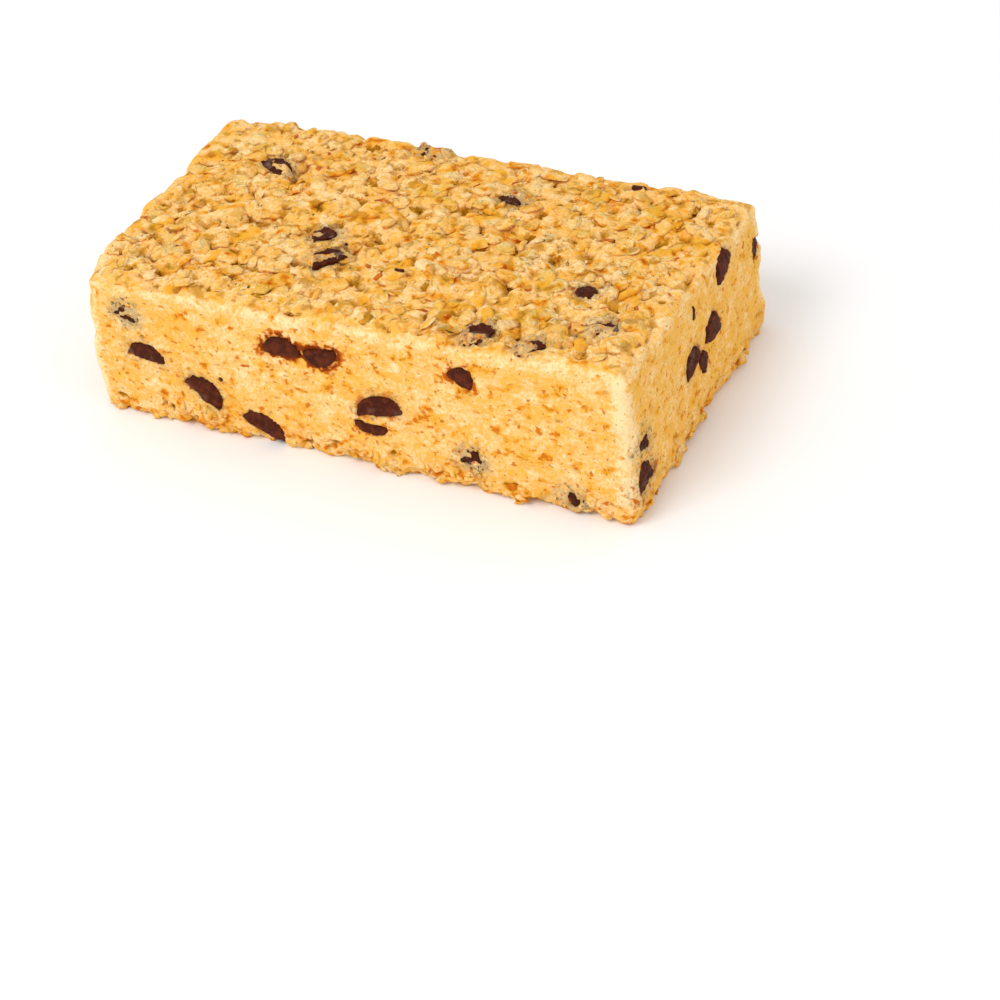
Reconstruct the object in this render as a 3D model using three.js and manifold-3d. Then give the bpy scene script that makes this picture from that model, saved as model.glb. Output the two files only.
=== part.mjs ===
// A flapjack bar: rolled oats, syrup and chocolate drops pressed into a slab, baked and cut to a block.
// The oat slab is one solid whose crags and flakes are relief in its surface. Every chocolate drop that
// the cut or the top lays open is a solid of its own, seated in a socket in the oats.
// Millimetres, +Z up. The bar lies on its underside with its length along X, and the origin is the
// middle of the rectangle that it covers, on the table.

import * as THREE from 'three';
import { mergeVertices } from 'three/addons/utils/BufferGeometryUtils.js';
import Module from 'manifold-3d';

// The slab's corners. Its front long side faces -Y and its right end +X, and it was cut a little out of true.
const TOP_CORNERS = {
  left: { front: [-44.6, -25.8, 23.8], back: [-45.7, 25.9, 22.6] },
  right: { front: [44.2, -25.6, 25.7], back: [44.4, 26.3, 22.3] },
};
const FOOT_CORNERS = {
  left: { front: [-44, -26, 0], back: [-45.6, 26.9, 0] },
  right: { front: [45.9, -28, 0], back: [45.3, 26.5, 0] },
};
const NOMINAL = new THREE.Vector3(90, 53, 24); // the plain box that the corners pull into shape
const TOP_CROWN = 0.5; // how far the middle of the top stands above its edges
const EDGE_RADIUS = 2.2;
const FOOT_TAPER_HEIGHT = 5; // the crumbling band along the foot, where the sides draw in
const FOOT_TAPER_DEPTH = 1.2;
const UNDER_TABLE = 0.8; // the slab is modelled this much too deep, then cut flat at the table

// The lumps of pressed oats, strongest on the top, and pressed nearly smooth on the sides.
const LUMP_SPACING = 3.4;
const LUMP_REACH = 3;
const LUMP_DOME = 1.7;
const LUMP_LEVEL_SPREAD = 0.9;
const LUMP_TILT = 0.24; // the steepest slope that a lump's flat crest may have
const TOP_RELIEF = 0.9; // shares of the full relief
const SIDE_RELIEF = 0.16;
const FOOT_RELIEF = 0.5;
const FACET = 1.6; // the length of a facet on the slab
const FACET_UP = 3;
const FACET_SHIFT = 0.28; // a facet's corners are shifted by up to this share of its length
const TRIM_FACET = 10; // the facets of the even form that trims the drops
const TRIM_FACET_UP = 2;

// A chocolate drop: a flat base and a round dome. Its outline is given in shares of radius and height.
const DROP_PROFILE = [[0, 0], [1, 0.08], [0.84, 0.56], [0.45, 0.9], [0, 1]];
const DROP_SIDES = 7;
const SOCKET_GAP = 0.3; // between a drop and the oats round it
const SIDE_DROP_PROUD = 0.08; // how far the cut face of a drop stands out of the slab's even form
const TOP_DROP_PROUD = 0.7;
const TOP_LEAN = 38; // degrees that a drop on the top leans from standing on its rim

// The drops that show: where each lies on its face (along the face, then up it, or along X and Y on
// the top), its base and its height, and the turn of its base within the face, in degrees.
const FRONT_DROPS = [
  { along: -37.1, up: 19.2, base: 4.2, height: 3.2, turn: -12 },
  { along: -34.8, up: 12.4, base: 6.6, height: 2.9, turn: -7 },
  { along: -25.2, up: 7.6, base: 7.2, height: 3.6, turn: -36 },
  { along: -15.5, up: 3.4, base: 8.2, height: 3.6, turn: -32 },
  { along: -10.5, up: 18.2, base: 6.3, height: 3.0, turn: 3 },
  { along: -3.9, up: 17.4, base: 5.9, height: 2.7, turn: 192 },
  { along: 4.5, up: 11.1, base: 8.2, height: 3.0, turn: 13 },
  { along: 2.8, up: 7.1, base: 6.0, height: 1.6, turn: 175 },
  { along: 19.4, up: 18.9, base: 4.3, height: 3.0, turn: -29 },
  { along: 19.4, up: 5.8, base: 4.0, height: 2.5, turn: -18 },
  { along: 35.4, up: 2.8, base: 3.9, height: 3.0, turn: -37 },
];
const RIGHT_DROPS = [
  { along: 5.2, up: 13.8, base: 5.4, height: 3.8, turn: -8 },
  { along: -3.5, up: 12.8, base: 5.8, height: 3.0, turn: 21 },
  { along: 0.8, up: 10.5, base: 3.6, height: 2.6, turn: -65 },
  { along: -22.3, up: 11.4, base: 4.2, height: 3.0, turn: -12 },
  { along: -22.8, up: 6.3, base: 5.8, height: 4.4, turn: 15 },
  { along: 10.5, up: 21.6, base: 5.4, height: 4.0, turn: 28 },
  { along: 23.4, up: 16.8, base: 4.2, height: 3.2, turn: 33 },
];
const TOP_DROPS = [
  { along: 20.6, up: -22.8, base: 5.4, height: 3.8, turn: 63 },
  { along: 29.5, up: -24.1, base: 5.6, height: 2.2, turn: 53 },
  { along: 31.7, up: -7.9, base: 3.8, height: 2.6, turn: -16 },
  { along: 37.8, up: -16.3, base: 4.2, height: 2.4, turn: 44 },
  { along: 10, up: 14.2, base: 4.4, height: 2.6, turn: -13 },
  { along: -29.7, up: 12.2, base: 6.4, height: 2.8, turn: -28 },
  { along: -13.1, up: -5.1, base: 4.8, height: 2.9, turn: 40 },
  { along: -9.7, up: -11, base: 6.9, height: 3.4, turn: 50 },
  { along: -8, up: 24.2, base: 6.8, height: 2.4, turn: -8 },
];
// The back and the left end show drops like the others, laid out by a seeded rule.
const BACK_DROP_COUNT = 7;
const LEFT_DROP_COUNT = 4;
const RULED_DROP_BASE = [5, 8];
const RULED_DROP_HEIGHT = [2.6, 3.4];
const RULED_DROP_UP = [4, 18.5];
const RULED_TURN = 40;
const EDGE_MARGIN = 6; // a ruled drop keeps this far from the ends of its face

const OAT = new THREE.MeshStandardMaterial({ color: '#e8bd74', roughness: 0.72, metalness: 0 });
const CHOCOLATE = new THREE.MeshStandardMaterial({ color: '#3b1a14', roughness: 0.5, metalness: 0 });

const wasm = await Module();
wasm.setup();

function seededRandom(seed) {
  let state = seed;
  return () => {
    state = (state + 0x6d2b79f5) | 0;
    let t = Math.imul(state ^ (state >>> 15), 1 | state);
    t = (t + Math.imul(t ^ (t >>> 7), 61 | t)) ^ t;
    return ((t ^ (t >>> 14)) >>> 0) / 4294967296;
  };
}

const between = (range, share) => THREE.MathUtils.lerp(range[0], range[1], share);

// A closed geometry as a solid: only places are kept, and triangles that shrank to nothing at a pole go.
function solidOf(geometry) {
  const bare = geometry.clone();
  bare.deleteAttribute('normal');
  bare.deleteAttribute('uv');
  const merged = mergeVertices(bare, 1e-4);
  const corners = merged.index.array;
  const kept = [];
  for (let i = 0; i < corners.length; i += 3) {
    const [a, b, c] = [corners[i], corners[i + 1], corners[i + 2]];
    if (a !== b && b !== c && c !== a) kept.push(a, b, c);
  }
  const vertProperties = new Float32Array(merged.attributes.position.array);
  return new wasm.Manifold(new wasm.Mesh({ numProp: 3, vertProperties, triVerts: new Uint32Array(kept) }));
}

function meshOf(solid, name, material) {
  const { vertProperties, triVerts } = solid.getMesh();
  const geometry = new THREE.BufferGeometry();
  geometry.setAttribute('position', new THREE.BufferAttribute(vertProperties, 3));
  geometry.setIndex(new THREE.BufferAttribute(triVerts, 1));
  geometry.computeVertexNormals();
  const mesh = new THREE.Mesh(geometry, material);
  mesh.name = name;
  return mesh;
}

const across = (a, b, share) => new THREE.Vector3(...a).lerp(new THREE.Vector3(...b), share);

// A place in the slab's even form: right, back and up run from 0 to 1 through the slab.
function slabPlace(right, back, up) {
  const level = (corners) => across(corners.left.front, corners.right.front, right)
    .lerp(across(corners.left.back, corners.right.back, right), back);
  const place = level(FOOT_CORNERS).lerp(level(TOP_CORNERS), up);
  place.z += up * TOP_CROWN * 16 * right * (1 - right) * back * (1 - back);
  const taper = FOOT_TAPER_DEPTH * THREE.MathUtils.clamp(1 - place.z / FOOT_TAPER_HEIGHT, 0, 1.2) ** 1.6;
  place.x -= taper * (2 * right - 1);
  place.y -= taper * (2 * back - 1);
  return place;
}

// A repeatable random number for one cell of space.
function cellRandom(i, j, k, salt) {
  let h = Math.imul(i, 374761393) ^ Math.imul(j, 668265263);
  h ^= Math.imul(k, 1440662683) ^ Math.imul(salt, 1274126177);
  h = Math.imul(h ^ (h >>> 13), 1103515245);
  h = Math.imul(h ^ (h >>> 16), 2246822519);
  return ((h ^ (h >>> 15)) >>> 0) / 4294967296;
}

// The height of the oat lumps at a place: each lump is a tilted flat crest with a steep rim at its own
// level, and the highest of them shows.
function lumpHeight(p) {
  const home = [p.x, p.y, p.z].map((value) => Math.floor(value / LUMP_SPACING));
  let highest = -LUMP_DOME / 2;
  for (let i = home[0] - 1; i <= home[0] + 1; i++) {
    for (let j = home[1] - 1; j <= home[1] + 1; j++) {
      for (let k = home[2] - 1; k <= home[2] + 1; k++) {
        const draw = (salt) => cellRandom(i, j, k, salt);
        const centre = new THREE.Vector3(i + draw(1), j + draw(2), k + draw(3)).multiplyScalar(LUMP_SPACING);
        const slope = new THREE.Vector3(draw(5) - 0.5, draw(6) - 0.5, draw(7) - 0.5);
        const offset = p.clone().sub(centre);
        const rim = (offset.length() / LUMP_REACH) ** 3;
        const level = LUMP_LEVEL_SPREAD * (draw(4) - 0.5);
        const crest = level + 2 * LUMP_TILT * offset.dot(slope);
        highest = Math.max(highest, crest + LUMP_DOME * (0.5 - rim));
      }
    }
  }
  return highest - LUMP_LEVEL_SPREAD / 4;
}

// A fine box is brought to the rounded form of the slab, and each of its points is moved outwards by what
// outwardShift gives for its place and direction.
function slabSolid(facet, facetUp, outwardShift) {
  const steps = [NOMINAL.x / facet, NOMINAL.y / facet, NOMINAL.z / facetUp].map(Math.round);
  const geometry = new THREE.BoxGeometry(2, 2, 2, ...steps);
  const places = geometry.attributes.position;
  const half = NOMINAL.clone().divideScalar(2);
  const inner = half.clone().subScalar(EDGE_RADIUS);
  const lowest = -UNDER_TABLE / NOMINAL.z;
  for (let i = 0; i < places.count; i++) {
    const cube = new THREE.Vector3().fromBufferAttribute(places, i);
    const box = cube.clone().multiply(half);
    const core = box.clone().clamp(inner.clone().negate(), inner);
    const outward = box.clone().sub(core).normalize();
    const share = core.addScaledVector(outward, EDGE_RADIUS).divide(half).addScalar(1).divideScalar(2);
    const p = slabPlace(share.x, share.y, THREE.MathUtils.lerp(lowest, 1, share.z));
    p.add(outwardShift(p, outward, cube));
    places.setXYZ(i, p.x, p.y, p.z);
  }
  return solidOf(geometry);
}

// The roughness of the oats, with the corners of the facets shifted so that no rows of them show.
function roughness(p, outward, cube) {
  const onTop = THREE.MathUtils.smoothstep(outward.z, 0.35, 0.9);
  const byFoot = 1 - THREE.MathUtils.smoothstep(p.z, 2, 8);
  const relief = Math.max(onTop * TOP_RELIEF, SIDE_RELIEF, byFoot * FOOT_RELIEF);
  const cell = [cube.x, cube.y, cube.z].map((value) => Math.round(1000 * value));
  const shift = new THREE.Vector3(...[8, 9, 10].map((salt) => 2 * cellRandom(...cell, salt) - 1));
  shift.multiplyScalar(FACET * FACET_SHIFT);
  shift.addScaledVector(outward, -shift.dot(outward));
  return shift.addScaledVector(outward, relief * lumpHeight(p.clone().add(shift)));
}

// A drop with its base centre at the origin, its base along X and its dome towards +Z.
function dropGeometry({ base, height }, grown) {
  const radius = base / 2 + grown;
  const tall = height + 2 * grown;
  const profile = DROP_PROFILE.map(([r, h]) => new THREE.Vector2(r * radius, h * tall - grown));
  return new THREE.LatheGeometry(profile, DROP_SIDES).rotateX(Math.PI / 2);
}

// The faces of the slab: which way each looks, and the share of the slab where a place on it lies.
const FACES = {
  front: { out: [0, -1, 0], share: (along, up) => [0.5 + along / NOMINAL.x, 0, up / NOMINAL.z] },
  back: { out: [0, 1, 0], share: (along, up) => [0.5 - along / NOMINAL.x, 1, up / NOMINAL.z] },
  right: { out: [1, 0, 0], share: (along, up) => [1, 0.5 + along / NOMINAL.y, up / NOMINAL.z] },
  left: { out: [-1, 0, 0], share: (along, up) => [0, 0.5 - along / NOMINAL.y, up / NOMINAL.z] },
  top: { out: [0, 0, 1], share: (along, up) => [0.5 + along / NOMINAL.x, 0.5 + up / NOMINAL.y, 1] },
};

// A drop in its place on a face: on a side the cut goes through it, on the top it lies tipped in the oats.
function placedDrop(face, drop, grown) {
  const { out, share } = FACES[face];
  const outward = new THREE.Vector3(...out);
  const up = face === 'top' ? new THREE.Vector3(0, 1, 0) : new THREE.Vector3(0, 0, 1);
  const along = up.clone().cross(outward);
  const turn = THREE.MathUtils.degToRad(drop.turn);
  const baseLine = along.clone().applyAxisAngle(outward, turn);
  const dome = up.clone().applyAxisAngle(outward, turn);
  if (face === 'top') dome.applyAxisAngle(baseLine, THREE.MathUtils.degToRad(TOP_LEAN));
  const frame = new THREE.Matrix4().makeBasis(baseLine, dome.clone().cross(baseLine), dome);
  const middle = slabPlace(...share(drop.along, drop.up)).addScaledVector(dome, -drop.height / 2);
  return solidOf(dropGeometry(drop, grown).applyMatrix4(frame).translate(middle.x, middle.y, middle.z));
}

function ruledDrops(count, span, seed) {
  const draw = seededRandom(seed);
  return Array.from({ length: count }, (_, n) => ({
    along: ((n + 0.25 + 0.5 * draw()) / count - 0.5) * (span - 2 * EDGE_MARGIN),
    up: between(RULED_DROP_UP, (0.5 * (n % 3)) * 0.8 + 0.2 * draw()),
    base: between(RULED_DROP_BASE, draw()),
    height: between(RULED_DROP_HEIGHT, draw()),
    turn: RULED_TURN * (2 * draw() - 1),
  }));
}

const SHOWN_DROPS = {
  front: FRONT_DROPS,
  right: RIGHT_DROPS,
  top: TOP_DROPS,
  back: ruledDrops(BACK_DROP_COUNT, NOMINAL.x, 5),
  left: ruledDrops(LEFT_DROP_COUNT, NOMINAL.y, 9),
};

function largestPiece(solid) {
  return solid.decompose().reduce((a, b) => (b.volume() > a.volume() ? b : a));
}

// The slab is cut flat where it lies on the table.
function cutAtTable(solid) {
  const table = new THREE.BoxGeometry(2 * NOMINAL.x, 2 * NOMINAL.y, NOMINAL.z);
  return solid.subtract(solidOf(table.translate(0, 0, -NOMINAL.z / 2)));
}

// The even form of the slab, a little enlarged, which trims the drops where they come out of the oats.
function trimSolid(proud) {
  const standOut = (_, outward) => outward.clone().multiplyScalar(proud);
  return cutAtTable(slabSolid(TRIM_FACET, TRIM_FACET_UP, standOut));
}

const sideTrim = trimSolid(SIDE_DROP_PROUD);
const topTrim = trimSolid(TOP_DROP_PROUD);
const bar = new THREE.Group();
let oats = cutAtTable(slabSolid(FACET, FACET_UP, roughness));
for (const [face, drops] of Object.entries(SHOWN_DROPS)) {
  drops.forEach((drop, n) => {
    const shown = largestPiece(placedDrop(face, drop, 0).intersect(face === 'top' ? topTrim : sideTrim));
    oats = oats.subtract(placedDrop(face, drop, SOCKET_GAP));
    bar.add(meshOf(shown, `chocolate_drop_${face}_${n + 1}`, CHOCOLATE));
  });
}
bar.add(meshOf(largestPiece(oats), 'oat_slab', OAT));

const reached = new THREE.Box3().setFromObject(bar);
bar.position.set(-(reached.min.x + reached.max.x) / 2, -(reached.min.y + reached.max.y) / 2, 0);

const part = new THREE.Group();
part.add(bar);
export default part;
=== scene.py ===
import math

import bmesh
import bpy
import numpy as np
from mathutils import Matrix, Vector, noise
from mathutils.bvhtree import BVHTree
from mathutils.kdtree import KDTree


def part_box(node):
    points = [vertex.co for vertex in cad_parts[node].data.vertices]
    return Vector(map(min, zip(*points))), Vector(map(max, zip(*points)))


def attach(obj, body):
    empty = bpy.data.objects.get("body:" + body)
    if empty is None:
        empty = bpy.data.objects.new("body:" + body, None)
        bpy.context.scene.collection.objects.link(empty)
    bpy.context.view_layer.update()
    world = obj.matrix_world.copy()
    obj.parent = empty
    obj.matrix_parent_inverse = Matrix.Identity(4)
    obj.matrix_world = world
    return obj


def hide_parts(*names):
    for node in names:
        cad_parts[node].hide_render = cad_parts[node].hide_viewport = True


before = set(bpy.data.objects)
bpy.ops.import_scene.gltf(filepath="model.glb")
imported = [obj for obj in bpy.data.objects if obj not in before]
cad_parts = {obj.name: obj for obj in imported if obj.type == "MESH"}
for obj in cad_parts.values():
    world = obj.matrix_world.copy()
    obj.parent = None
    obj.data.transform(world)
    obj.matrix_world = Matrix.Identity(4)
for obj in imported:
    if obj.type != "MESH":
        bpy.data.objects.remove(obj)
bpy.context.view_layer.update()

# Chocolate drops: flat-based drops of plain dark chocolate, baked into the oats. The knife went
# through those on the sides, which show a matte, slightly ragged cut face, and those on the top
# lie half sunk and smeared. Each one keeps the place and the form of its solid.
MM = 0.001
DROP_VOXEL = 0.2 * MM
DROP_ROUNDING_STEPS = 4
DROP_RAGGED = 0.2 * MM
DROP_RAGGED_SPAN = 0.9 * MM
DROP_SEED = 7
DROP_LOWEST = 0.1 * MM
DROP_SWELL = {"front": 0.12 * MM, "right": 0.32 * MM}
CUT_CHOCOLATE = (0.125, 0.024, 0.008, 1)
DARK_CHOCOLATE = (0.060, 0.011, 0.004, 1)
BLOOMED_CHOCOLATE = (0.20, 0.14, 0.10, 1)


class Socket:
    """A socket of a node tree. Arithmetic on a number socket adds the Math nodes that work it out."""

    def __init__(self, owner, socket):
        self.owner = owner
        self.socket = socket

    def other(self, name):
        """Another output of the same node."""
        return Socket(self.owner, self.socket.node.outputs[name])

    def math(self, operation, *values):
        return self.owner.node("ShaderNodeMath", {"operation": operation}, dict(enumerate(values)))

    def __add__(self, other):
        return self.math("ADD", self, other)

    def __sub__(self, other):
        return self.math("SUBTRACT", self, other)

    def __rsub__(self, other):
        return self.math("SUBTRACT", other, self)

    def __mul__(self, other):
        return self.math("MULTIPLY", self, other)

    def __abs__(self):
        return self.math("ABSOLUTE", self)

    __radd__ = __add__
    __rmul__ = __mul__

    def between(self, low, high):
        """0 below low, 1 above high, and a smooth step from one to the other."""
        settings = {"interpolation_type": "SMOOTHSTEP"}
        return self.owner.node("ShaderNodeMapRange", settings, {0: self, 1: low, 2: high})


class Tree:
    """A shader or geometry tree whose nodes all come from one method."""

    def __init__(self, tree):
        self.tree = tree

    def feed(self, socket, value):
        if isinstance(value, Socket):
            self.tree.links.new(value.socket, socket)
        else:
            socket.default_value = value

    def node(self, kind, settings=None, sockets=None, output=0):
        made = self.tree.nodes.new(kind)
        for key, value in (settings or {}).items():
            setattr(made, key, value)
        for key, value in (sockets or {}).items():
            self.feed(made.inputs[key], value)
        return Socket(self, made.outputs[output])

    def vector(self, operation, *values):
        return self.node("ShaderNodeVectorMath", {"operation": operation}, dict(enumerate(values)))


class Finish(Tree):
    """A material: its tree, and its Principled shader with the constant sockets set."""

    def __init__(self, name, **constants):
        self.material = bpy.data.materials.new(name)
        self.material.use_nodes = True
        super().__init__(self.material.node_tree)
        self.surface = self.tree.nodes["Principled BSDF"]
        for key, value in constants.items():
            self.surface.inputs[key.replace("_", " ")].default_value = value
        self.place = self.node("ShaderNodeTexCoord", None, None, "Object")

    def attribute(self, name):
        return self.node("ShaderNodeAttribute", {"attribute_name": name}, None, "Fac")

    def mix(self, share, first, second):
        """A colour between two."""
        return self.node("ShaderNodeMix", {"data_type": "RGBA"}, {0: share, 6: first, 7: second}, 2)

    def noise(self, span, detail=2.0, stretch=(1, 1, 1)):
        """Noise whose patches are about span across, or longer along an axis by its stretch."""
        place = self.vector("DIVIDE", self.place, stretch)
        return self.node("ShaderNodeTexNoise", None, {"Vector": place, "Scale": 1 / span, "Detail": detail})

    def cells(self, span, stretch=(1, 1, 1), warp=0.7):
        """Lumps about span across that fit together: a number for each, and how far in its edge is."""
        sockets = {"Vector": self.place, "Scale": 1.5 / span, "Detail": 2.0}
        bent = self.node("ShaderNodeTexNoise", None, sockets, "Color")
        bent = self.vector("SUBTRACT", bent, (0.5, 0.5, 0.5))
        bent = self.vector("MULTIPLY_ADD", bent, (warp * span,) * 3, self.place)
        bent = self.vector("DIVIDE", bent, stretch)
        sockets = {"Vector": bent, "Scale": 1 / span}
        lump = self.node("ShaderNodeTexVoronoi", None, sockets, "Color")
        number = self.node("ShaderNodeSeparateColor", None, {0: lump})
        inward = self.node("ShaderNodeTexVoronoi", {"feature": "DISTANCE_TO_EDGE"}, sockets)
        return number, inward

    def show(self, colour, roughness, height):
        """Feeds the surface. The height is in millimetres."""
        sockets = {"Height": height, "Distance": MM, "Strength": 1.0}
        self.feed(self.surface.inputs["Base Color"], colour)
        self.feed(self.surface.inputs["Roughness"], roughness)
        self.feed(self.surface.inputs["Normal"], self.node("ShaderNodeBump", None, sockets))


def chocolate_finish():
    finish = Finish("dark_chocolate", Specular_IOR_Level=0.08)
    patches = finish.noise(1.1 * MM, 3)
    grain = finish.noise(0.22 * MM, 2)
    smeared = finish.attribute("smeared")
    body = finish.mix((patches - 0.12 * smeared).between(0.38, 0.68), DARK_CHOCOLATE, CUT_CHOCOLATE)
    bloom = finish.noise(2.1 * MM, 4).between(0.52, 0.7) * smeared
    colour = finish.mix(bloom * 0.8, body, BLOOMED_CHOCOLATE)
    finish.show(colour, 0.42 + 0.3 * patches, 0.05 * grain + 0.03 * patches)
    return finish.material


def link(name, mesh):
    piece = bpy.data.objects.new(name, mesh)
    bpy.context.collection.objects.link(piece)
    return piece


def bake(piece):
    """Works the piece's modifiers into its mesh."""
    evaluated = piece.evaluated_get(bpy.context.evaluated_depsgraph_get())
    mesh = bpy.data.meshes.new_from_object(evaluated)
    piece.modifiers.clear()
    piece.data = mesh


def set_values(mesh, name, values):
    mesh.attributes.new(name, "FLOAT", "POINT").data.foreach_set("value", np.asarray(values, np.float32))


def closed_copy(node):
    """A CAD node's loose triangles as one closed mesh."""
    solid = bmesh.new()
    solid.from_mesh(node.data)
    bmesh.ops.remove_doubles(solid, verts=solid.verts, dist=1e-6)
    mesh = bpy.data.meshes.new(node.name)
    solid.to_mesh(mesh)
    solid.free()
    return mesh


def chocolate_drop(place):
    node_name = DROP_NODE + place
    drop = link("chocolate_" + place, closed_copy(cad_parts[node_name]))
    even = drop.modifiers.new("even", "REMESH")
    even.mode = "VOXEL"
    even.voxel_size = DROP_VOXEL
    rounded = drop.modifiers.new("rounded", "SMOOTH")
    rounded.iterations = DROP_ROUNDING_STEPS
    bake(drop)
    smeared = SMEARED_DROPS.get(place, 0.0)
    swell = DROP_SWELL.get(place.split("_")[0], 0.0)
    swollen = [vertex.co + swell * vertex.normal for vertex in drop.data.vertices]
    for vertex, co in zip(drop.data.vertices, swollen):
        coarse = noise.noise_vector(co / DROP_RAGGED_SPAN)
        fine = noise.noise_vector(co / (0.4 * DROP_RAGGED_SPAN))
        vertex.co = co + DROP_RAGGED * (1.2 + 0.4 * smeared) * (coarse + 0.5 * fine)
        vertex.co.z = max(vertex.co.z, DROP_LOWEST)
    set_values(drop.data, "smeared", [smeared] * len(drop.data.vertices))
    drop.data.shade_smooth()
    drop.data.materials.clear()
    drop.data.materials.append(chocolate)
    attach(drop, "root")
    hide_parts(node_name)
    return drop


# How strongly some drops are smeared greyish over the oats, and others have melted into them.
SMEARED_DROPS = {f"top_{n}": 0.85 for n in range(1, 10)}
SMEARED_DROPS.update({"top_5": 1.0, "front_1": 1.0, "front_2": 0.4, "front_3": 0.3, "front_7": 0.3})
SMEARED_DROPS.update({"front_10": 1.0, "front_11": 0.8, "right_2": 0.3, "right_4": 0.7, "right_5": 0.5})
SMEARED_DROPS.update({"back_4": 0.8})
MELTED_DROPS = {"front_5": 1.05, "front_6": 1.05, "front_7": 0.3, "front_8": 0.6, "front_9": 0.7}
MELTED_DROPS.update({"right_3": 0.5, "right_5": 0.5, "top_3": 0.4, "back_2": 0.8, "back_5": 0.6})
# The vector noise keeps its seed, so that the drops come out the same on every run.
noise.seed_set(DROP_SEED)
chocolate = chocolate_finish()
DROP_NODE = "chocolate_drop_"
DROP_PLACES = sorted(name.removeprefix(DROP_NODE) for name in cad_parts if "drop" in name)
drops = {place: chocolate_drop(place) for place in DROP_PLACES}

# The oat mass: rolled oats, syrup and margarine pressed in a tray, baked and cut to a block. Its top
# is a rough mosaic of flakes, with painted shade that darkens the crevices between them to brown.
# The cut sides are pressed nearly smooth, with pits and a paler band along their edges, partly their
# own paler colour and partly a painted highlight, and crumble along the foot, where the bar left the tray.
TOP_LEFT = [[-44.6, -25.8, 23.8], [-45.7, 25.9, 22.6]]
TOP_RIGHT = [[44.2, -25.6, 25.7], [44.4, 26.3, 22.3]]
TOP_CORNERS = np.array([TOP_LEFT, TOP_RIGHT]) * MM
FOOT_LEFT = [[-44, -26, 0], [-45.6, 26.9, 0]]
FOOT_RIGHT = [[45.9, -28, 0], [45.3, 26.5, 0]]
FOOT_CORNERS = np.array([FOOT_LEFT, FOOT_RIGHT]) * MM
NOMINAL = np.array([90, 53, 24]) * MM
TOP_CROWN = 0.5 * MM
EDGE_RADIUS = 1.5 * MM
FOOT_TAPER_HEIGHT = 5 * MM
FOOT_TAPER_DEPTH = 1.2 * MM
OAT_STEP = 0.42 * MM
TOP_LUMPS = {"count": 2300, "long": (1.8, 4.6), "wide": (0.6, 0.95), "turn": 180}
TOP_LUMPS.update({"level": 0.24, "dome": 0.36, "slope": 0.12})
SIDE_LUMPS = {"count": 9000, "long": (1.2, 4.0), "wide": (0.35, 0.7), "turn": 30}
SIDE_LUMPS.update({"level": 0.5, "dome": 0.5, "slope": 0.05})
OAT_SEED = 11
SIDE_RELIEF = 0.2
FOOT_RELIEF = 0.8
# The relief's heights and depths are plain millimetres, because they scale a way outwards later.
WAVE_HEIGHT = 0.35
WAVE_SPAN = 6 * MM
GRAIN_HEIGHT = 0.28
GRAIN_SPAN = 0.9 * MM
FOOT_WAVE_HEIGHT = 0.7
FOOT_WAVE_SPAN = 3.5 * MM
SIDE_PIT_DEPTH = 0.25
TOP_PIT_DEPTH = 0.7
PIT_SPAN = 2.1 * MM
PIT_ROUNDS = 30
EDGE_HOLLOW_DEPTH = 0.9
EDGE_HOLLOW_SPAN = 4.5 * MM
EDGE_HOLLOW_REACH = 2.4 * MM
TORN_HEIGHT = 3.4
TORN_WAVE = 2.2
TORN_SPAN = 7 * MM
WORN_CORNER = TOP_CORNERS[0, 0]
WORN_DEPTH = 1.5
WORN_REACH = 8 * MM
DROP_BED_DEPTH = 0.55 * MM
TOP_BED_DEPTH = 0.8 * MM
BED_PROBE = 0.8 * MM
COVER_SPAN = 1.4 * MM
# The oats lap over the front side of each drop in the top, and cover some drops more than others.
COVERED_SIDE = np.array([-0.1, -1.0, 0.0])
COVERED_DROPS = {"top_5": 1.1, "top_2": 0.35, "top_6": 0.3, "top_8": 0.2, "top_9": 0.6}
COVERED_DROPS.update({"front_1": 0.5, "front_10": 0.9, "front_11": 0.8, "right_4": 0.5, "back_4": 0.7})
SEAT_MARGIN = 2.3 * MM


def smoothstep(value, low, high):
    share = np.clip((value - low) / (high - low), 0, 1)
    return share * share * (3 - 2 * share)


def box_lattice(cells):
    """The lattice places on the skin of a box, from 0 to 1, and the outward quads between them."""
    corners = cells + 1
    number = np.arange(np.prod(corners)).reshape(corners)
    quads = []
    for axis in range(3):
        for end in (0, -1):
            sheet = number.take(end, axis)
            ring = [sheet[:-1, :-1], sheet[1:, :-1], sheet[1:, 1:], sheet[:-1, 1:]]
            outward = (end == -1) == (axis != 1)
            quads.append(np.stack([side.ravel() for side in (ring if outward else ring[::-1])], 1))
    used, quads = np.unique(np.concatenate(quads), return_inverse=True)
    return np.stack(np.unravel_index(used, corners), 1) / cells, quads.reshape(-1, 4)


def even_form(shares):
    """The slab's even form, rounded and a little out of true. Gives each place, the way that it
    faces and how far it is from the nearest edge."""
    half = NOMINAL / 2
    inner = half - EDGE_RADIUS
    box = (2 * shares - 1) * half
    core = np.clip(box, -inner, inner)
    outward = box - core
    outward /= np.linalg.norm(outward, axis=1, keepdims=True)
    right, back, up = (((core + outward * EDGE_RADIUS) / half + 1) / 2).T[:, :, None]

    def level(corners):
        front = corners[0, 0] * (1 - right) + corners[1, 0] * right
        rear = corners[0, 1] * (1 - right) + corners[1, 1] * right
        return front * (1 - back) + rear * back

    place = level(FOOT_CORNERS) * (1 - up) + level(TOP_CORNERS) * up
    place[:, 2:] += up * TOP_CROWN * 16 * right * (1 - right) * back * (1 - back)
    taper = FOOT_TAPER_DEPTH * np.clip(1 - place[:, 2:] / FOOT_TAPER_HEIGHT, 0, 1) ** 1.6
    place[:, :1] -= taper * (2 * right - 1)
    place[:, 1:2] -= taper * (2 * back - 1)
    return place, outward, np.sort(half - np.abs(box), 1)[:, 1]


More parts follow.
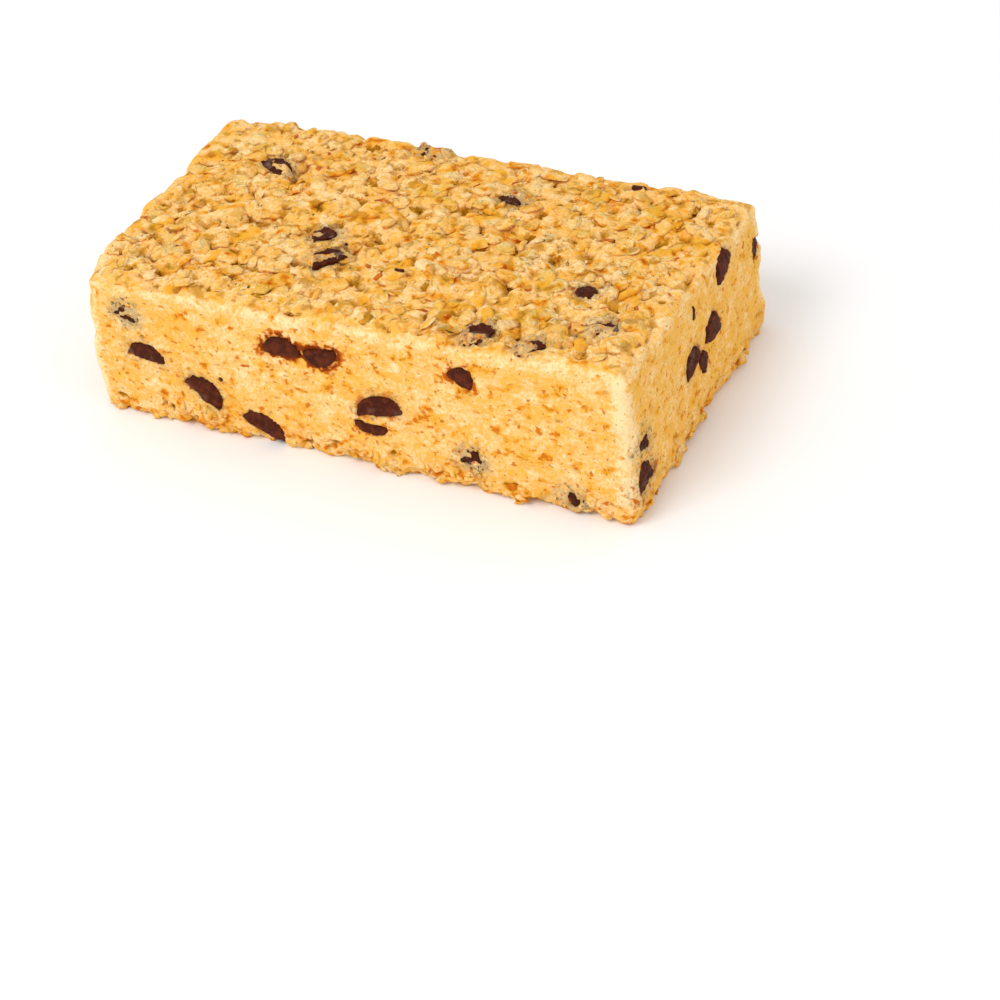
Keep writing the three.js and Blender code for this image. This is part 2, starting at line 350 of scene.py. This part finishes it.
def lump_relief(places, outward, chosen, kind, rng):
    """Lays lumps of a kind over the chosen places. Gives the height of the highest lump at each
    place, in millimetres, its number, and how far it stands over the next."""
    tree = KDTree(len(chosen))
    for n, point in enumerate(places[chosen]):
        tree.insert(point, n)
    tree.balance()
    best = np.full(len(chosen), -1.0)
    second = np.full(len(chosen), -1.0)
    owner = np.zeros(len(chosen), int)
    for lump in range(kind["count"]):
        middle = chosen[rng.integers(len(chosen))]
        face = outward[middle]
        level_way = np.cross((0, 0, 1), face) if abs(face[2]) < 0.8 else np.array((1.0, 0, 0))
        level_way /= np.linalg.norm(level_way)
        turn = math.radians(kind["turn"]) * rng.uniform(-1, 1)
        along = math.cos(turn) * level_way + math.sin(turn) * np.cross(face, level_way)
        across = np.cross(face, along)
        length = rng.uniform(*kind["long"]) / 2
        width = length * rng.uniform(*kind["wide"])
        near = np.array([n for _, n, _ in tree.find_range(places[middle], length * MM)])
        offset = (places[chosen[near]] - places[middle]) / MM
        x, y = offset @ along / length, offset @ across / width
        wavy = 1 + 0.16 * np.sin(3 * np.arctan2(y, x) + rng.uniform(0, 6.3))
        reach = np.hypot(x, y) * wavy
        slope = kind["slope"] * rng.uniform(-1, 1, 2)
        height = kind["level"] * rng.uniform(-1, 1) + kind["dome"] * (1 - reach**3)
        height += length * slope[0] * x + width * slope[1] * y
        height[reach > 1] = -1
        wins = height > best[near]
        second[near] = np.where(wins, best[near], np.maximum(second[near], height))
        best[near] = np.where(wins, height, best[near])
        owner[near] = np.where(wins, lump, owner[near])
    return best, owner, best - second


def neighbour_mean(values, edges, rounds):
    """Each place's value, evened out with its neighbours' a number of times."""
    count = np.bincount(edges.ravel(), minlength=len(values)).astype(float)
    for _ in range(rounds):
        total = np.bincount(edges[:, 0], values[edges[:, 1]], len(values))
        total += np.bincount(edges[:, 1], values[edges[:, 0]], len(values))
        values = 0.5 * values + 0.5 * total / count
    return values


def depths_in_drops(places):
    """How deep each place lies in a drop, below 0 outside one, and that drop's place name."""
    corners, faces, owners = [], [], []
    for place, drop in drops.items():
        faces += [[len(corners) + n for n in polygon.vertices] for polygon in drop.data.polygons]
        corners += [vertex.co.copy() for vertex in drop.data.vertices]
        owners += [place] * len(drop.data.polygons)
    skin = BVHTree.FromPolygons(corners, faces)
    depth = np.full(len(places), -4 * MM)
    owner = [""] * len(places)
    for n, place in enumerate(places):
        nearest, normal, face, distance = skin.find_nearest(place, 4 * MM)
        if nearest is not None:
            inside = (Vector(place) - nearest).dot(normal) < 0
            depth[n] = distance if inside else -distance
            owner[n] = owners[face]
    return depth, owner


def noise_at(places, span, seed):
    shift = Vector((seed, 2 * seed, 3 * seed))
    return np.array([noise.noise(Vector(place) / span + shift) for place in places])


def oat_relief(places, outward, from_edge, on_top, by_foot, edge, under):
    """The height of the relief at each place in millimetres, the tone of its lump, and how far the
    lump stands over the next."""
    rng = np.random.default_rng(OAT_SEED)
    top = np.flatnonzero(outward[:, 2] > 0.15)
    sides = np.flatnonzero((outward[:, 2] < 0.95) & ~under)
    height = np.zeros(len(places))
    tone = rng.random(len(places))
    gap = np.ones(len(places))
    side_height, side_owner, side_gap = lump_relief(places, outward, sides, SIDE_LUMPS, rng)
    side_relief = SIDE_RELIEF + (FOOT_RELIEF - SIDE_RELIEF) * by_foot[sides]
    height[sides] = side_relief * side_height * (1 - on_top[sides])
    tone[sides] = rng.random(SIDE_LUMPS["count"])[side_owner]
    gap[sides] = side_gap
    top_height, top_owner, top_gap = lump_relief(places, outward, top, TOP_LUMPS, rng)
    between = 0.3 * noise_at(places[top], 1.3 * MM, 4) - 0.35
    height[top] += (np.maximum(top_height, between) - 0.3) * on_top[top] * (1 - 0.45 * edge[top])
    wins = on_top[top] > 0.5
    tone[top[wins]] = rng.random(TOP_LUMPS["count"])[top_owner[wins]]
    gap[top[wins]] = top_gap[wins]
    height += (WAVE_HEIGHT + WAVE_HEIGHT * edge) * noise_at(places, WAVE_SPAN, 1)
    from_worn = np.linalg.norm(places - WORN_CORNER, axis=1)
    height -= WORN_DEPTH * smoothstep(from_worn, WORN_REACH, 1 * MM)
    edge_hollows = smoothstep(noise_at(places, EDGE_HOLLOW_SPAN, 8), 0.1, 0.5)
    height -= EDGE_HOLLOW_DEPTH * smoothstep(from_edge, EDGE_HOLLOW_REACH, 0.3 * MM) * edge_hollows
    height += GRAIN_HEIGHT * noise_at(places, GRAIN_SPAN, 2) * np.maximum(on_top, by_foot)
    height += FOOT_WAVE_HEIGHT * noise_at(places, FOOT_WAVE_SPAN, 7) * by_foot
    pits = smoothstep(noise_at(places, PIT_SPAN, 3), 0.25, 0.5)
    height -= pits * (SIDE_PIT_DEPTH + TOP_PIT_DEPTH * on_top)
    return height, tone, gap


def drop_beds(places, outward, on_top):
    """For each place, how far it is sunk in a drop and that drop's name, how much it is a part of the
    drop's bed, and how much it rises to lap over the drop."""
    sunk, nearest_drop = depths_in_drops(places - BED_PROBE * outward)
    middles = {place: np.mean(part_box(DROP_NODE + place), 0) for place in DROP_PLACES}
    from_drop = np.array([point - middles.get(place, point) for point, place in zip(places, nearest_drop)])
    towards = from_drop @ COVERED_SIDE
    uneven = noise_at(places, COVER_SPAN, 6)
    cover = np.array([COVERED_DROPS.get(place, 0) for place in nearest_drop])
    top_cover = np.maximum(0.3 + 0.5 * uneven + 0.45 * towards / MM + cover, 0.1)
    covered = on_top * top_cover + (1 - on_top) * cover * (0.5 + 1.5 * uneven)
    bed = smoothstep(sunk / MM, covered - 0.15, covered + 0.25)
    over = on_top * (0.4 + 0.6 * np.clip(covered, 0, 1)) + (1 - on_top) * 0.6 * cover
    return sunk, nearest_drop, bed, over * smoothstep(sunk, -0.5 * MM, 0.2 * MM)


def oat_mass():
    shares, quads = box_lattice(np.round(NOMINAL / OAT_STEP).astype(int))
    places, outward, from_edge = even_form(shares)
    under = places[:, 2] < 0.01 * MM
    on_top = smoothstep(outward[:, 2], 0.3, 0.9)
    torn_height = (TORN_HEIGHT + TORN_WAVE * noise_at(places * (1, 1, 0), TORN_SPAN, 5)) * MM
    by_foot = (1 - smoothstep(places[:, 2] - torn_height, -1.5 * MM, 1.5 * MM)) * (1 - on_top)
    edge = 1 - smoothstep(from_edge, 0.8 * MM, 3.2 * MM)
    height, tone, gap = oat_relief(places, outward, from_edge, on_top, by_foot, edge, under)

    mesh = bpy.data.meshes.new("oat_mass")
    mesh.from_pydata(places, [], quads.tolist())
    edges = np.zeros(2 * len(mesh.edges), int)
    mesh.edges.foreach_get("vertices", edges)
    edges = edges.reshape(-1, 2)
    height = neighbour_mean(height, edges, 1)
    # How far each place lies below its neighbours. The finish paints shade into these pits.
    pit = (neighbour_mean(height, edges, PIT_ROUNDS) - height) * (1 - 0.5 * edge)

    sunk, nearest_drop, bed, over = drop_beds(places, outward, on_top)
    height += over
    height[under] = 0
    bed_depth = DROP_BED_DEPTH + (TOP_BED_DEPTH - DROP_BED_DEPTH) * on_top
    places = places + outward * (height * MM * (1 - bed) - bed * bed_depth)[:, None]
    places[:, 2] = np.maximum(places[:, 2], 0)
    middle = (places.min(0) + places.max(0)) / 2
    low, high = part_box("oat_slab")
    places[:, :2] += (np.array(low + high) / 2 - middle)[:2]
    mesh.vertices.foreach_set("co", places.ravel())

    beside = smoothstep(sunk, -2.2 * MM, -0.1 * MM)
    close_by = 0.45 * smoothstep(sunk, -0.6 * MM, -0.05 * MM)
    melted = np.array([MELTED_DROPS.get(place, 0) for place in nearest_drop])
    smeared = np.array([SMEARED_DROPS.get(place, 0) for place in nearest_drop])
    smeared *= np.where([place.startswith("top") for place in nearest_drop], on_top, 1 - on_top)
    # The pale band along the side edges is partly the pressed face's own paler colour and partly a painted
    # highlight, strongest at the upright corners.
    to_corner = (NOMINAL / 2 - np.abs(places))[:, :2].max(1)
    pale_band_and_highlight = 0.65 * edge + 0.35 * (1 - smoothstep(to_corner, 1.0 * MM, 3.4 * MM))
    level = outward[:, 2] > 0.95
    inner = from_edge > SEAT_MARGIN
    clear = 1 - smoothstep(sunk, -0.9 * MM, -0.3 * MM)
    set_values(mesh, "on_top", on_top)
    set_values(mesh, "by_foot", by_foot)
    set_values(mesh, "on_end", smoothstep(np.abs(outward[:, 0]), 0.5, 0.9))
    set_values(mesh, "tone", neighbour_mean(tone, edges, 1))
    set_values(mesh, "pit", pit)
    # Painted shade where two lumps nearly meet. The finish darkens the oats there.
    set_values(mesh, "seam", neighbour_mean(1 - smoothstep(gap, 0.0, 0.16), edges, 1))
    set_values(mesh, "edge", pale_band_and_highlight * (1 - on_top) * (1 - by_foot))
    set_values(mesh, "melt", np.maximum(beside * melted, close_by))
    set_values(mesh, "smear", beside * smeared)
    set_values(mesh, "top_seats", level * clear * inner)
    set_values(mesh, "loose_seats", (0.15 + 0.85 * level) * clear * inner)
    set_values(mesh, "foot_seats", by_foot * clear * (to_corner > SEAT_MARGIN) * (places[:, 2] > 0.5 * MM))
    mesh.shade_smooth()
    mesh.materials.append(oats)
    return link("oat_mass", mesh)


# The oats' colours from the palest to the darkest, then the colours of chocolate on them.
# The cream is the palest oats' colour. Along the side edges it also paints a highlight.
CREAM_OAT_AND_HIGHLIGHT = (1.0, 0.765, 0.43, 1)
PALE_OAT = (0.94, 0.59, 0.235, 1)
BAKED_OAT = (0.88, 0.455, 0.070, 1)
SYRUP = (0.86, 0.40, 0.025, 1)
AMBER_OAT = (0.79, 0.33, 0.012, 1)
ORANGE_OAT = (0.64, 0.165, 0.006, 1)
BRAN = (0.34, 0.055, 0.003, 1)
# Painted shade for the hollows on the top.
HOLLOW_SHADE = (0.51, 0.222, 0.014, 1)
# Painted shade browns for the crevices, pits and cracks. They also colour small dark specks.
CREVICE_SHADE_AND_SPECKS = (0.40, 0.165, 0.003, 1)
DEEP_CREVICE_SHADE_AND_SPECKS = (0.13, 0.046, 0.002, 1)
CHOCOLATE_STAIN = (0.60, 0.135, 0.004, 1)
MELTED_CHOCOLATE = (0.20, 0.030, 0.004, 1)
CHOCOLATE_SMEAR = (0.50, 0.37, 0.19, 1)
DARK_SMEAR = (0.10, 0.060, 0.032, 1)


def oat_finish():
    """Oats in syrup. A piece's attributes say where it is browned, sunk, stained or smeared, where shade is
    painted into its pits and between its lumps, and where a highlight is painted along its side edges.
    """
    finish = Finish(
        "baked_oats",
        Subsurface_Weight=0.25,
        Subsurface_Radius=(1.0, 0.45, 0.16),
        Subsurface_Scale=0.9 * MM,
        Specular_IOR_Level=0.05,
    )
    tone, pit, melt, smear = (finish.attribute(name) for name in ("tone", "pit", "melt", "smear"))
    on_top, by_foot, on_end = (finish.attribute(name) for name in ("on_top", "by_foot", "on_end"))
    edge, seam = finish.attribute("edge"), finish.attribute("seam")
    number, inward = finish.cells(2.0 * MM, (1.5, 1.5, 1))
    patches = finish.noise(2.6 * MM, 5)
    drawn = finish.noise(1.2 * MM, 5, (2.4, 2.4, 1))
    drawn = drawn + on_end * (finish.noise(1.2 * MM, 5, (1, 1, 2.4)) - drawn)
    specks = finish.noise(0.5 * MM, 3)
    grain = finish.noise(0.2 * MM, 2)
    # The oats' tone: random lumps, patches and specks, paler along the side edges as a painted highlight and
    # a little darker where lumps meet as painted shade.
    shade = 0.35 * number + 0.3 * tone + 0.5 * patches + 0.5 * drawn + 1.7 * specks
    shade = shade + 0.06 * on_top - 0.14 * on_end - 1.22
    shade = shade + 1.05 * edge * patches - 0.16 * seam + 0.6 * (grain - 0.5)
    body = finish.mix(shade.between(0.1, 0.75), BAKED_OAT, PALE_OAT)
    body = finish.mix(shade.between(0.55, 1.05) * 0.75, body, CREAM_OAT_AND_HIGHLIGHT)
    syrup = finish.noise(3.6 * MM, 1, (1.3, 1.3, 1)).between(0.61, 0.66) * on_top
    body = finish.mix(syrup * 0.85, body, SYRUP)
    browned = finish.noise(1.5 * MM, 6, (1.3, 1.3, 1)) + 0.05 * by_foot + 0.02 * on_top + 0.06 * (0.5 - tone)
    browned = browned - 0.02 * on_end - 0.05 * edge
    body = finish.mix(browned.between(0.53, 0.67) * 0.9, body, AMBER_OAT)
    body = finish.mix(browned.between(0.64, 0.73) * 0.95, body, ORANGE_OAT)
    body = finish.mix(browned.between(0.72, 0.79) * 0.8, body, BRAN)
    ridge = finish.noise(2.3 * MM, 2) - 0.5
    ridge = 1 - abs(ridge).between(0.006, 0.05)
    cracked = ridge * finish.noise(3.1 * MM, 2).between(0.5, 0.6) * (0.25 + 0.75 * on_top)
    # Painted shade: the edges of the lump cells are darkened on the top wherever a noise lets them show.
    cell_seam_shade = (1 - inward.between(0.0, 0.09)) * finish.noise(2.3 * MM, 2).between(0.5, 0.62)
    # Painted shade: patches on the top, placed by noise and pulled deeper into the pits, are darkened
    # towards an olive brown.
    shaded_hollows = finish.noise(1.9 * MM, 5, (1.3, 1.3, 1)) + 0.2 * pit
    body = finish.mix(shaded_hollows.between(0.53, 0.65) * on_top * 0.75, body, HOLLOW_SHADE)
    # Painted shade: pits, cracks and cell seams are darkened towards two browns, with some random speckle in
    # the same mask.
    depth = 0.8 * pit + 0.16 * cracked + 0.1 * cell_seam_shade * on_top + 0.8 * (specks - 0.5)
    body = finish.mix(depth.between(0.14, 0.5), body, CREVICE_SHADE_AND_SPECKS)
    body = finish.mix(depth.between(0.55, 1.0) * 0.8, body, DEEP_CREVICE_SHADE_AND_SPECKS)
    flecks = finish.noise(0.8 * MM, 3, (1.3, 1.3, 1)) + 0.5 * (browned - 0.5) - 0.1 * edge
    body = finish.mix(flecks.between(0.62, 0.7) * (1 - on_top) * 0.9, body, ORANGE_OAT)
    # Small dark specks at random, in the same browns that paint the crevice shade.
    dots = finish.noise(0.42 * MM, 1).between(0.73, 0.79)
    body = finish.mix(dots * 0.7, body, DEEP_CREVICE_SHADE_AND_SPECKS)
    dots = finish.noise(0.62 * MM, 2) + 0.02 * on_end
    body = finish.mix(dots.between(0.66, 0.74) * 0.7, body, CREVICE_SHADE_AND_SPECKS)
    blots = finish.noise(1.1 * MM, 4)
    stained = 0.36 * melt + 1.4 * blots - 0.2
    body = finish.mix(stained.between(0.66, 0.84) * melt.between(0.05, 0.3), body, CHOCOLATE_STAIN)
    body = finish.mix(stained.between(0.76, 0.9) * melt.between(0.5, 0.9) * 0.9, body, MELTED_CHOCOLATE)
    body = finish.mix(smear * finish.noise(0.9 * MM, 3).between(0.38, 0.54) * 0.8, body, CHOCOLATE_SMEAR)
    body = finish.mix(smear * dots.between(0.55, 0.66) * 0.85, body, DARK_SMEAR)
    finish.show(body, 0.55 + 0.2 * specks, 0.17 * specks + 0.05 * grain - 0.12 * cracked)
    return finish.material


oats = oat_finish()
slab = oat_mass()
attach(slab, "root")
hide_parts("oat_slab")

# Oat flakes: rolled oats, whole and broken, 2 to 5 mm across and well under 1 mm thick. They lie
# at all angles, half sunk in the top and held by the syrup.
LUMP_SOCKETS = {
    "Where": "NodeSocketString",
    "Density": "NodeSocketFloat",
    "Size": "NodeSocketVector",
    "Smallest": "NodeSocketFloat",
    "Tilt": "NodeSocketFloat",
    "Sunk": "NodeSocketFloat",
    "Ragged": "NodeSocketFloat",
}


def lump_tree(name, rounding, seed, material):
    """A tree that seats lumps on a skin, each with a turn, a tilt and a size of its own."""
    group = bpy.data.node_groups.new(name, "GeometryNodeTree")
    group.interface.new_socket("Skin", in_out="INPUT", socket_type="NodeSocketGeometry")
    for label, kind in LUMP_SOCKETS.items():
        group.interface.new_socket(label, in_out="INPUT", socket_type=kind)
    group.interface.new_socket("Lumps", in_out="OUTPUT", socket_type="NodeSocketGeometry")
    tree = Tree(group)
    given = tree.node("NodeGroupInput")

    def random(kind, low, high, output, shift):
        sockets = {0: low, 1: high} if kind == "FLOAT_VECTOR" else {2: low, 3: high}
        sockets["Seed"] = seed + shift
        return tree.node("FunctionNodeRandomValue", {"data_type": kind}, sockets, output)

    def scaled(vector, factor):
        return tree.node("ShaderNodeVectorMath", {"operation": "SCALE"}, {0: vector, "Scale": factor})

    sockets = {"Name": given.other("Where")}
    where = tree.node("GeometryNodeInputNamedAttribute", {"data_type": "FLOAT"}, sockets)
    density = where * given.other("Density")
    sockets = {"Mesh": given.other("Skin"), "Density": density, "Seed": seed}
    seats = tree.node("GeometryNodeDistributePointsOnFaces", {"distribute_method": "RANDOM"}, sockets)
    lump = tree.node("GeometryNodeMeshIcoSphere", None, {"Radius": 0.5, "Subdivisions": rounding})
    widest = tree.vector("ADD", scaled((1, 1, 0), given.other("Tilt")), (0, 0, math.pi))
    narrowest = tree.vector("MULTIPLY", widest, (-1, -1, -1))
    spin = random("FLOAT_VECTOR", narrowest, widest, 0, 1)
    spin = tree.node("FunctionNodeEulerToRotation", None, {0: spin})
    sockets = {"Rotation": seats.other("Rotation"), "Rotate By": spin}
    turned = tree.node("FunctionNodeRotateRotation", {"rotation_space": "LOCAL"}, sockets)
    size = scaled(given.other("Size"), random("FLOAT", given.other("Smallest"), 1.0, 1, 2))
    size = tree.vector("MULTIPLY", size, random("FLOAT_VECTOR", (0.8, 0.8, 0.7), (1.2, 1.2, 1.3), 0, 3))
    sockets = {"Points": seats, "Instance": lump, "Rotation": turned, "Scale": size}
    lumps = tree.node("GeometryNodeInstanceOnPoints", None, sockets)
    down = scaled((0, 0, -1), given.other("Sunk"))
    lumps = tree.node("GeometryNodeTranslateInstances", None, {"Instances": lumps, "Translation": down})
    sockets = {"Geometry": lumps, "Name": "tone", "Value": random("FLOAT", 0.0, 1.0, 1, 4)}
    settings = {"data_type": "FLOAT", "domain": "INSTANCE"}
    lumps = tree.node("GeometryNodeStoreNamedAttribute", settings, sockets)
    lumps = tree.node("GeometryNodeRealizeInstances", None, {"Geometry": lumps})
    uneven = tree.node("ShaderNodeTexNoise", None, {"Scale": 1 / (1.3 * MM), "Detail": 2.0}, "Color")
    uneven = scaled(tree.vector("SUBTRACT", uneven, (0.5, 0.5, 0.5)), given.other("Ragged"))
    lumps = tree.node("GeometryNodeSetPosition", None, {"Geometry": lumps, "Offset": uneven})
    lumps = tree.node("GeometryNodeSetShadeSmooth", None, {"Geometry": lumps})
    lumps = tree.node("GeometryNodeSetMaterial", None, {"Geometry": lumps, "Material": material})
    end = group.nodes.new("NodeGroupOutput")
    tree.feed(end.inputs[0], lumps)
    return group


def seat_lumps(name, tree, look, slot="oats", **sizes):
    """A piece of lumps over the oat mass, with the tree's sizes and their look given by name."""
    piece = link(name, slab.data.copy())
    seated = piece.modifiers.new("seated", "NODES")
    seated.node_group = tree
    identifiers = {socket.name: socket.identifier for socket in tree.interface.items_tree}
    for label, value in sizes.items():
        seated[identifiers[label]] = value
    bake(piece)
    places = np.zeros(3 * len(piece.data.vertices), np.float32)
    piece.data.vertices.foreach_get("co", places)
    places[2::3] = np.maximum(places[2::3], 0)
    piece.data.vertices.foreach_set("co", places)
    set_values(piece.data, look, [1.0] * len(piece.data.vertices))
    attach(piece, "root")
    return piece


flake_tree = lump_tree("oat_flake_seats", 2, 3, oats)
seat_lumps(
    "oat_flakes", flake_tree, "on_top", Where="top_seats", Density=0.14e6,
    Size=(4.4 * MM, 3.2 * MM, 1.0 * MM), Smallest=0.45, Tilt=0.16, Sunk=0.42 * MM, Ragged=2.0 * MM,
)

# Crumbs: broken ends and splinters of oats, 0.5 to 2 mm across. Syrup holds the small ones on the
# top. The larger ones stand half out of the foot, where the bar tore away from the tray.
crumb_tree = lump_tree("crumb_seats", 1, 8, oats)
seat_lumps(
    "top_crumbs", crumb_tree, "on_top", Where="top_seats", Density=0.3e6,
    Size=(1.4 * MM, 0.9 * MM, 0.6 * MM), Smallest=0.35, Tilt=0.8, Sunk=0.05 * MM, Ragged=0.7 * MM,
)
foot_tree = lump_tree("foot_crumb_seats", 2, 21, oats)
seat_lumps(
    "foot_crumbs", foot_tree, "by_foot", Where="foot_seats", Density=0.42e6,
    Size=(2.2 * MM, 1.7 * MM, 1.0 * MM), Smallest=0.25, Tilt=0.4, Sunk=0.52 * MM, Ragged=1.7 * MM,
)

# Bran slivers: thin orange-red shreds of husk, up to 3 mm long, that came in with the rolled oats.
# They lie flat, mostly on the top, and stick to the syrup.
BRAN_PATCH = 0.8 * MM


def bran_finish():
    finish = Finish("bran", Specular_IOR_Level=0.2)
    patches = finish.noise(BRAN_PATCH, 2)
    colour = finish.mix(patches.between(0.4, 0.75), ORANGE_OAT, BRAN)
    finish.show(colour, 0.5 + 0.2 * patches, 0.04 * patches)
    return finish.material


bran_tree = lump_tree("bran_seats", 2, 40, bran_finish())
seat_lumps(
    "bran_slivers", bran_tree, "on_top", Where="loose_seats", Density=0.014e6,
    Size=(2.4 * MM, 0.9 * MM, 0.4 * MM), Smallest=0.45, Tilt=0.1, Sunk=0.06 * MM, Ragged=0.8 * MM,
)

# Chocolate crumbs: bits of the drops that broke off in the mixing and stuck to the oats. Three are
# large enough to have a place of their own, one on the right end and two on the top.
CHIPS = {
    "right": {"place": (45.0, -0.4, 19.6), "size": (0.7, 1.0, 2.4)},
    "middle": {"place": (2.4, -10.7, 24.6), "size": (1.6, 1.3, 1.0)},
    "back": {"place": (26.2, 23.6, 23.4), "size": (2.4, 1.3, 1.0)},
}
CHIP_RAGGED = 0.35 * MM
chip_tree = lump_tree("chocolate_crumb_seats", 1, 52, chocolate)
seat_lumps(
    "chocolate_crumbs", chip_tree, "smeared", "chocolate", Where="loose_seats", Density=0.005e6,
    Size=(1.1 * MM, 0.8 * MM, 0.5 * MM), Smallest=0.4, Tilt=0.3, Sunk=0.0, Ragged=0.6 * MM,
)


def chocolate_chips():
    """The three chips in one mesh, each at the spot of the oats nearest to its place."""
    bpy.context.view_layer.update()
    solid = bmesh.new()
    for chip in CHIPS.values():
        _, seat, _, _ = slab.closest_point_on_mesh(Vector(chip["place"]) * MM)
        form = Matrix.LocRotScale(seat, None, Vector(chip["size"]) * MM)
        bmesh.ops.create_icosphere(solid, subdivisions=3, radius=0.5, matrix=form)
    for vertex in solid.verts:
        vertex.co += CHIP_RAGGED * noise.noise_vector(vertex.co / DROP_RAGGED_SPAN)
    mesh = bpy.data.meshes.new("chocolate_chips")
    solid.to_mesh(mesh)
    solid.free()
    set_values(mesh, "smeared", [0.6] * len(mesh.vertices))
    mesh.shade_smooth()
    mesh.materials.append(chocolate)
    return link("chocolate_chips", mesh)


chips = chocolate_chips()
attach(chips, "root")

# Floor, light and camera: a plain pale floor, a broad soft lamp from the front left, a weaker one
# from the right and an even pale sky, with the camera at the photograph's viewing angle.
FLOOR_SIZE = 4.0
FLOOR_GREY = 0.93
SKY_STRENGTH = 0.83
CAMERA_AZIMUTH = math.radians(28.29)
CAMERA_ELEVATION = math.radians(37.91)
CAMERA_ROLL = math.radians(-5.88)
CAMERA_DISTANCE = 433.1 * MM
CAMERA_ASIDE = (10.52 * MM, -20.73 * MM)
LENS = 100.8


def soft_lamp(name, azimuth, elevation, distance, size, watts):
    lamp = bpy.data.lights.new(name, "AREA")
    lamp.energy = watts
    lamp.size = size
    holder = bpy.data.objects.new(name, lamp)
    bpy.context.collection.objects.link(holder)
    az, el = math.radians(azimuth), math.radians(elevation)
    way = Vector((math.sin(az) * math.cos(el), -math.cos(az) * math.cos(el), math.sin(el)))
    holder.location = distance * way
    holder.rotation_euler = way.to_track_quat("Z", "Y").to_euler()


def studio():
    finish = Finish("pale_floor", Base_Color=(FLOOR_GREY, FLOOR_GREY, FLOOR_GREY, 1), Roughness=0.9)
    bpy.ops.mesh.primitive_plane_add(size=FLOOR_SIZE)
    floor = bpy.context.object
    floor.name = "floor"
    floor.data.materials.append(finish.material)
    world = bpy.data.worlds.new("sky")
    world.use_nodes = True
    world.node_tree.nodes["Background"].inputs["Color"].default_value = (1, 1, 1, 1)
    world.node_tree.nodes["Background"].inputs["Strength"].default_value = SKY_STRENGTH
    bpy.context.scene.world = world
    soft_lamp("key", azimuth=-22, elevation=52, distance=0.9, size=0.4, watts=3.3)
    soft_lamp("side", azimuth=75, elevation=30, distance=1.0, size=0.5, watts=0.42)
    bpy.context.scene.view_settings.view_transform = "Standard"


def camera():
    az, el = CAMERA_AZIMUTH, CAMERA_ELEVATION
    back = Vector((math.sin(az) * math.cos(el), -math.cos(az) * math.cos(el), math.sin(el)))
    level = Vector((math.cos(az), math.sin(az), 0))
    right = Matrix.Rotation(CAMERA_ROLL, 3, back) @ level
    up = back.cross(right)
    lens = bpy.data.cameras.new("camera")
    lens.lens = LENS
    lens.clip_start = 0.01
    holder = bpy.data.objects.new("camera", lens)
    bpy.context.collection.objects.link(holder)
    holder.matrix_world = Matrix((right, up, back)).transposed().to_4x4()
    holder.location = CAMERA_DISTANCE * back + CAMERA_ASIDE[0] * right + CAMERA_ASIDE[1] * up
    bpy.context.scene.camera = holder


studio()
camera()
